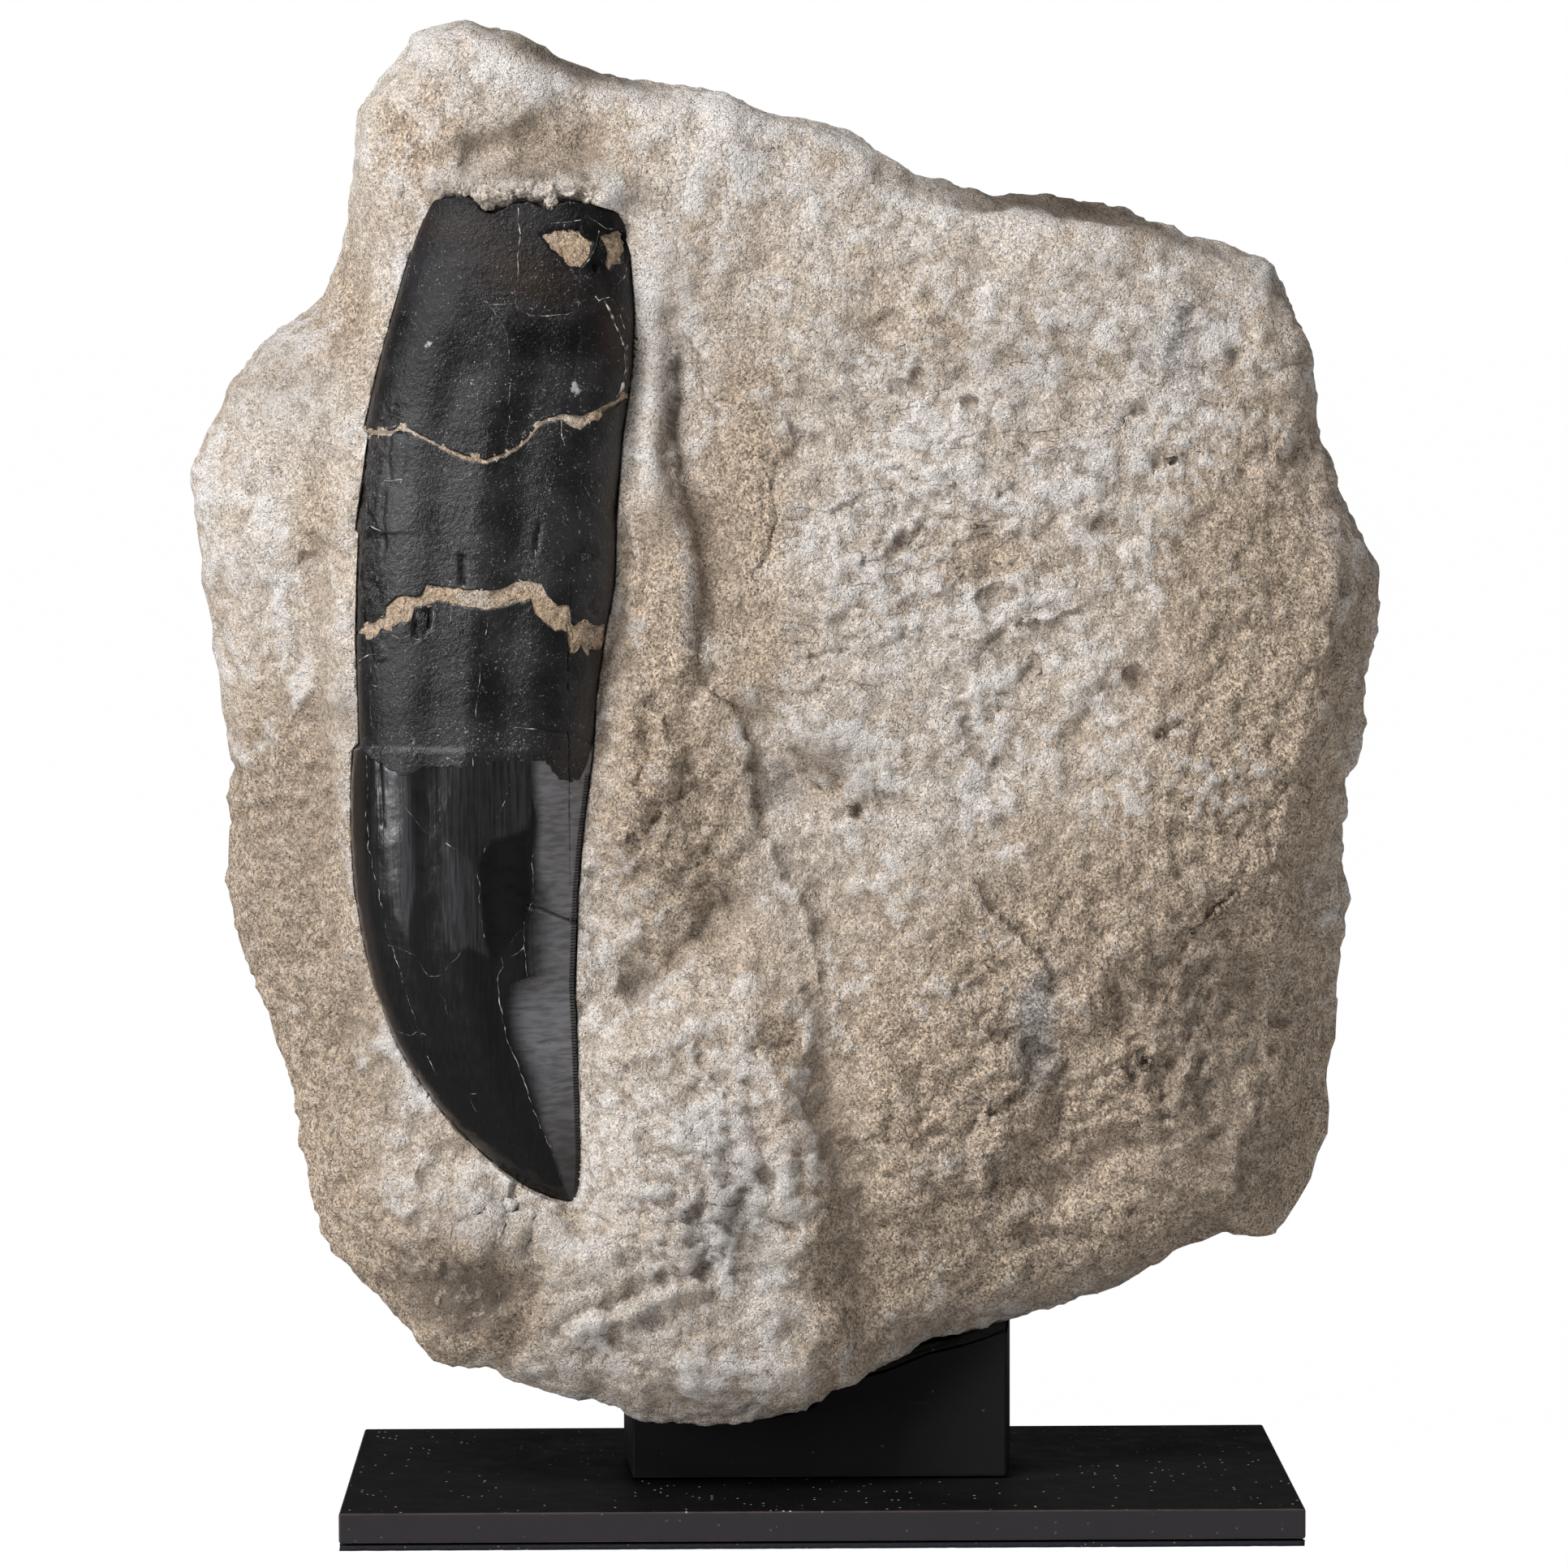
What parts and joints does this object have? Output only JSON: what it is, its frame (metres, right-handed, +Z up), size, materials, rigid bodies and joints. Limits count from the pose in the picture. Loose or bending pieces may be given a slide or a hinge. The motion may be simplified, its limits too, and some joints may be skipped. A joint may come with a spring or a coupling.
{
  "type": "mounted fossil tooth in matrix",
  "caption": "Black fossil tooth lying in a pale sandstone block, which stands upright on a small black block and a thin black base plate. For display.",
  "frame": {"origin": "middle of the base pad's underside, on the surface it stands on", "axes": "+Z up, -Y the way the tooth faces, +X to the right as seen from in front of the tooth"},
  "size_m": [0.1501, 0.062, 0.1887],
  "materials": {
    "sandstone": "rough, granular, cream to tan",
    "fossil_root": "half matt black fossil bone with tan cracks",
    "fossil_enamel": "polished black enamel",
    "block_black": "satin black",
    "bedding_black": "matt black, uneven",
    "plate_black": "satin black with a little dust",
    "pad_black": "matt, felt-like"
  },
  "bodies": {
    "root": {"matrix": "sandstone", "tooth_root_top": "fossil_root", "tooth_root_middle": "fossil_root", "tooth_crown": "fossil_enamel", "block": "block_black", "bedding": "bedding_black", "base_plate": "plate_black", "base_pad": "pad_black"}
  },
  "joints": []
}
